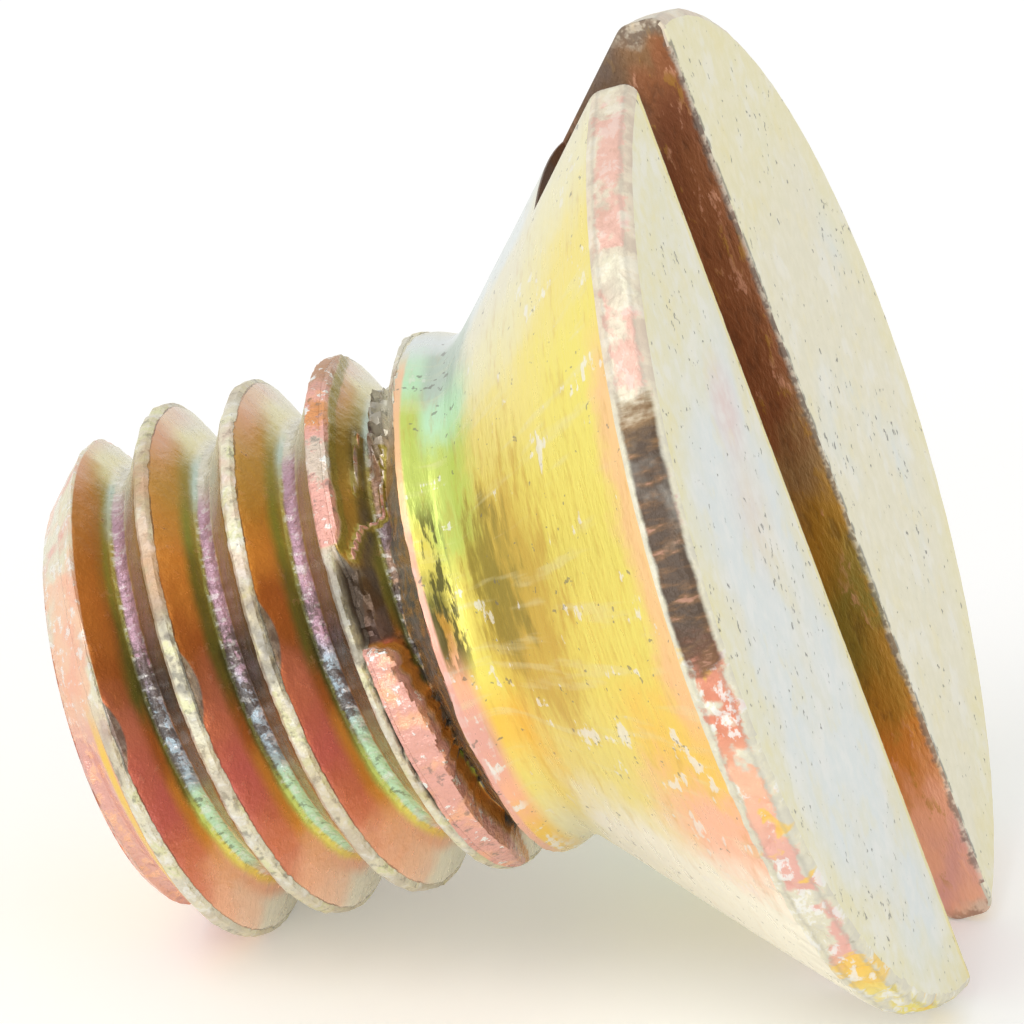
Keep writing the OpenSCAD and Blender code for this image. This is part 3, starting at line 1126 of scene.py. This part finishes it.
    # Grey lens shaped dents in front
    climb = net.plus(net.angle, net.times(net.z, DENT_CLIMB))
    lens = net.math("DIVIDE", net.minus(climb, DENT_START), DENT_HALF)
    lens = net.times(net.minus(1.0, net.math("POWER", lens, 2.0)), DENT_DEPTH)
    lens = net.minus(lens, net.minus(1.0, share))
    metal = net.mix(net.step(mottle, 0.42, 0.58), c.soot, c.smoke)
    base = net.coat(
        base, metal, net.step(lens, 0.0, 0.02), net.step(share, 0.5, 0.6), 0.85
    )
    # Folded crest
    flesh = net.mix(net.step(coarse, 0.52, 0.66), c.pink, c.peach)
    wobble = net.shift(net.angle, mottle, 12.0)
    flesh = net.coat(flesh, c.bare, net.band(wobble, 34, 44, 2.0), 0.75)
    flesh = net.coat(flesh, c.orange, net.band(wobble, 50, 57, 2.0), 0.75)
    flesh = net.coat(flesh, c.bronze, net.step(wobble, 60, 72), 0.7)
    flesh = net.mix(net.step(net.centred(mottle), 0.08, 0.14), flesh, c.chalk)
    flesh = net.coat(flesh, c.soot, net.step(mottle, 0.42, 0.34), 0.6)
    rim = net.band(net.shift(lapped, mottle, 0.25), 0.2, 0.62, 0.1)
    flesh = net.coat(flesh, c.straw, rim, 0.6)
    side = net.times(net.step(lapped, 0.02, 0.2), net.step(turns, 4.0, 3.95))
    flank = net.mix(net.step(net.angle, -5, 20), c.orange, c.old_gold)
    base = net.mix(side, base, flank)
    base = net.mix(net.step(lapped, 0.45, 0.75), base, flesh)
    # Ledge wall, then painted shade and dirt in hollows
    wall = net.mix(net.step(mottle, 0.4, 0.62), c.soot, c.bronze)
    wall = net.coat(wall, c.smoke, net.step(coarse, 0.5, 0.6), 0.5)
    base = net.mix(net.step(ledge, 0.2, 0.7), base, wall)
    # Painted shade in the crack, the gap and the valley by the fold, and the dirt's own
    # dark colour
    deep = net.mix(net.step(coarse, 0.45, 0.62), c.stain, c.slate)
    base = net.coat(base, deep, net.step(shade_and_dirt, 0.1, 0.9), 0.92)
    # Chamfer at the tip: whitish and pink, with a yellow line low in front
    corner = s.tip + s.length
    tip = net.step(net.plus(net.radius, net.z), corner - 0.10, corner - 0.07)
    tip = net.math("MAXIMUM", tip, net.step(turns, 7.14, 7.17))
    pale = net.mix(net.step(coarse, 0.30, 0.55), c.pink, c.cream)
    pale = net.coat(pale, c.peach, net.step(blush, 0.5, 0.6), 0.7)
    pale = net.coat(pale, c.chalk, net.step(mottle, 0.54, 0.62), 0.7)
    low = net.band(net.angle, -125, -5, 8.0)
    pale = net.mix(low, pale, net.mix(net.step(mottle, 0.5, 0.6), c.pink, c.peach))
    pale = net.coat(pale, c.amber, low, net.band(turns, 7.17, 7.28, 0.03))
    base = net.coat(base, pale, tip, net.minus(1.0, net.times(worn, low)), 0.92)
    # The flat end
    end = net.mix(net.step(blush, 0.3, 0.7), c.butter, c.peach)
    end = net.coat(end, c.straw, net.step(coarse, 0.4, 0.7), 0.6)
    end = net.coat(end, c.chalk, net.step(mottle, 0.5, 0.7), 0.25)
    base = net.mix(net.step(net.radius, s.tip * 0.99, s.tip * 0.95), base, end)
    pits = net.step(net.shift(mottle, coarse, 0.1), 0.70, 0.74)
    base = net.coat(base, c.stain, pits, 0.6)
    relief = net.plus(net.between(within, 0.7, 1.5), worn, lapped)
    rough = net.plus(net.times(worn, 0.22), net.times(mottle, 0.25), 0.12)
    return net.finish(base, rough, net.times(mottle, relief), 0.4, 0.03)


def zone(s, centre):
    """Which plating a face takes, by where its centre is."""
    r, a, z = polar(centre)
    beside = abs(centre.y) - s.slot
    if z < s.slot_depth + 0.01 and beside < 0.001 and r < s.head - max(0.05, z - 0.42):
        return "slot"
    if beside < s.slot_edge and s.slot_edge < z < s.slot_depth + 0.03:
        return "slot"
    if beside < s.slot_edge and z <= s.slot_edge and r < s.head - 0.3:
        return "slot" if beside < 0.6 * s.slot_edge else "face"
    if z < 0.02 and r < s.head - s.face_round + 0.02:
        return "face"
    if z < s.rim_top + 0.12:
        return "rim"
    if z < s.ledge + 0.001:
        return "seat"
    return "thread"


ZONES = "face", "slot", "rim", "seat", "thread"


def rough_head(s, r, a, z, co):
    """How far chips and dents sink the head's outer surface."""
    if z > s.ramp_start - 0.3:
        return s.neck - neck_radius(s, z)
    rim = smooth(s.head - 0.5, s.head - 0.05, r) * (1 - smooth(0.6, 0.9, z))
    chip = grain(co.x * 4, co.y * 4, z * 4)
    fine = grain(co.x * 13, co.y * 13, z * 9)
    inward = rim * s.wear * (0.012 * (1 + chip) + 0.006 * (1 + fine))
    low = window(from_front(a), -95, -80, -20, -14)
    lumps = grain(co.x * 7 + 5, co.y * 7, z * 7)
    inward += rim * low * s.wear * 0.05 * smooth(-0.1, 0.5, lumps)
    seat = window(z, 0.55, 0.8, 2.8, 3.1)
    inward += seat * s.wear * 0.006 * (1 + grain(co.x * 1.5, co.y * 1.5, z * 1.5))
    return inward


def build_screw(s, colours):
    """One closed skin: head, neck and thread, bridged where they meet."""
    head = bmesh.new()
    head_skin(head, s)
    bm = bmesh.new()
    thread_skin(bm, s)
    marks = bm.verts.layers.float_color.new("marks")
    for v in bm.verts:
        r, a, z = polar(v.co)
        radius, v[marks] = thread_radius(s, a, z)
        near = bump_at(z, s.ledge, 0.16)
        ragged = 0.03 * grain(a * 4, 7.5, 0) + 0.014 * grain(a * 17, 2.5, 0)
        set_polar(v, radius, a, z + near * s.wear * ragged)
    for v in head.verts:
        r, a, z = polar(v.co)
        deep = z > s.slot_depth + 0.1
        outside = abs(v.co.y) > s.slot + 0.2 or deep or r > s.head - 0.3
        if outside and (abs(v.co.y) > s.slot + 0.09 or deep):
            set_polar(v, r - rough_head(s, r, a, z, v.co), a, z)
    part = bpy.data.meshes.new("head_part")
    head.to_mesh(part)
    head.free()
    bm.from_mesh(part)
    bpy.data.meshes.remove(part)
    neck = edges_where(bm, lambda co: abs(co.z - s.ramp_start) < 0.05)
    bmesh.ops.bridge_loops(bm, edges=[e for e in neck if e.is_boundary])
    tip = edges_where(bm, lambda co: co.z > s.length - 0.01)
    tip = [e for e in tip if e.is_boundary]
    for scale, rise in ((0.985, 0.0), (0.93, -0.012), (0.6, -0.03), (0.3, -0.06)):
        made = bmesh.ops.extrude_edge_only(bm, edges=tip)["geom"]
        tip = [e for e in made if isinstance(e, bmesh.types.BMEdge)]
        for v in made:
            if isinstance(v, bmesh.types.BMVert):
                set_polar(v, s.tip * scale, polar(v.co)[1], s.length + rise)
                v[marks] = (0.0, 0.0, 0.0, 0.0)
    bmesh.ops.contextual_create(bm, geom=tip)
    bmesh.ops.recalc_face_normals(bm, faces=bm.faces)
    for face in bm.faces:
        face.smooth = True
        face.material_index = ZONES.index(zone(s, face.calc_center_median()))
    loose = [e for e in bm.edges if not e.is_manifold]
    print("screw_body faces", len(bm.faces), "open edges", len(loose))
    place = Matrix.Translation(FACE_CENTRE) @ LIE_DOWN @ Matrix.Scale(MM, 4)
    bmesh.ops.transform(bm, matrix=place, verts=bm.verts)
    obj = put(mesh_from(bm, "screw_body"), "screw_body")
    for paint in (face_plating, slot_plating, rim_plating, seat_plating):
        obj.data.materials.append(paint(colours))
    obj.data.materials.append(thread_plating(colours, s))
    obj.data.set_sharp_from_angle(angle=SHARP_ANGLE)
    return obj


def mesh_from(bm, name):
    """A mesh of what was built, which is then freed."""
    mesh = bpy.data.meshes.new(name)
    bm.to_mesh(mesh)
    bm.free()
    return mesh


def put(data, name):
    """An object with this data, put into the scene."""
    obj = bpy.data.objects.new(name, data)
    bpy.context.scene.collection.objects.link(obj)
    return obj


class SCREW_OT_body(bpy.types.Operator):
    """Build the screw's body from the sizes and colours in the sidebar"""

    bl_idname = "screw.body"
    bl_label = "Build screw body"

    def execute(self, context):
        scene = context.scene
        body = build_screw(Shape(scene.screw_sizes), scene.screw_colours)
        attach(body, "root")
        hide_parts("screw")
        return {"FINISHED"}


def add_camera(scene):
    """The camera that sees the screw as the photo does."""
    data = bpy.data.cameras.new("camera")
    data.sensor_width, data.lens = CAMERA_SENSOR, CAMERA_LENS
    data.clip_start, data.clip_end = CAMERA_NEAR, CAMERA_FAR
    camera = put(data, "camera")
    camera.location = Vector(CAMERA_PLACE) * MM
    camera.rotation_euler = Euler([math.radians(angle) for angle in CAMERA_TURN])
    scene.camera = camera


def add_floor(look):
    """A round floor that glows a little, but only where it is seen."""
    bm = bmesh.new()
    bmesh.ops.create_circle(
        bm, cap_ends=True, radius=FLOOR_RADIUS, segments=96, matrix=Matrix.Identity(4)
    )
    bmesh.ops.translate(bm, verts=bm.verts, vec=(0, 0, CAD_LOW.z))
    floor = put(mesh_from(bm, "floor"), "floor")
    net = Net(bpy.data.materials.new("floor_paint"))
    diffuse = net.add("BsdfDiffuse", {"Color": net.paint(look.floor)})
    glow = net.add("Emission", {"Color": WHITE, "Strength": FLOOR_GLOW})
    rays = net.add("LightPath").node.outputs
    seen = net.math("MAXIMUM", rays["Is Camera Ray"], rays["Is Glossy Ray"])
    lifted = net.add("AddShader", {0: diffuse, 1: glow})
    mixed = net.add("MixShader", {0: seen, 1: diffuse, 2: lifted})
    net.add("OutputMaterial", {0: mixed})
    floor.data.materials.append(net.owner)


def add_lamp(name, place, width, watts):
    """A soft round lamp that shines at the screw."""
    data = bpy.data.lights.new(name, "AREA")
    data.shape, data.size, data.energy = "DISK", width, watts
    obj = put(data, name)
    obj.location = place
    aim = Vector(LAMP_AIM) - Vector(place)
    obj.rotation_euler = aim.to_track_quat("-Z", "Y").to_euler()


def add_sky(scene, look):
    """Even light all round, and plain white wherever the sky itself is seen."""
    net = Net(bpy.data.worlds.new("studio"))
    rays = net.add("LightPath").node.outputs
    seen = rays["Is Camera Ray"]
    for kind in ("Is Glossy Ray", "Is Transmission Ray"):
        seen = net.math("MAXIMUM", seen, rays[kind])
    soft = net.add("Background", {"Color": WHITE, "Strength": look.sky})
    white = net.add("Background", {"Color": WHITE, "Strength": 1.0})
    mixed = net.add("MixShader", {0: seen, 1: soft, 2: white})
    net.add("OutputWorld", {0: mixed})
    scene.world = net.owner


class SCREW_OT_stage(bpy.types.Operator):
    """Set out the floor, the soft lamps, the sky and the camera"""

    bl_idname = "screw.stage"
    bl_label = "Set the stage"

    def execute(self, context):
        scene, look = context.scene, context.scene.screw_stage
        add_camera(scene)
        add_floor(look)
        for key, place, width in LAMPS:
            add_lamp(key + "_lamp", place, width, getattr(look, key))
        add_sky(scene, look)
        scene.view_settings.view_transform = "Standard"
        return {"FINISHED"}


class SCREW_PT_panel(bpy.types.Panel):
    """Sizes, colours and steps of the screw"""

    bl_label = "Machine screw"
    bl_idname = "SCREW_PT_panel"
    bl_space_type = "VIEW_3D"
    bl_region_type = "UI"
    bl_category = "Screw"

    def draw(self, context):
        for group in GROUPS:
            values = getattr(context.scene, group)
            box = self.layout.box()
            for key in values.__annotations__:
                box.prop(values, key)
        for operator in (SCREW_OT_stage, SCREW_OT_body):
            self.layout.operator(operator.bl_idname)


GROUPS = {
    "screw_sizes": ScrewSizes,
    "screw_colours": ScrewColours,
    "screw_stage": StageLook,
}
CLASSES = *GROUPS.values(), SCREW_OT_stage, SCREW_OT_body, SCREW_PT_panel


def register():
    for cls in CLASSES:
        bpy.utils.register_class(cls)
    for name, group in GROUPS.items():
        setattr(bpy.types.Scene, name, PointerProperty(type=group))


def unregister():
    for name in GROUPS:
        delattr(bpy.types.Scene, name)
    for cls in reversed(CLASSES):
        bpy.utils.unregister_class(cls)


def main():
    register()
    bpy.ops.screw.stage()
    bpy.ops.screw.body()


if __name__ == "__main__":
    main()
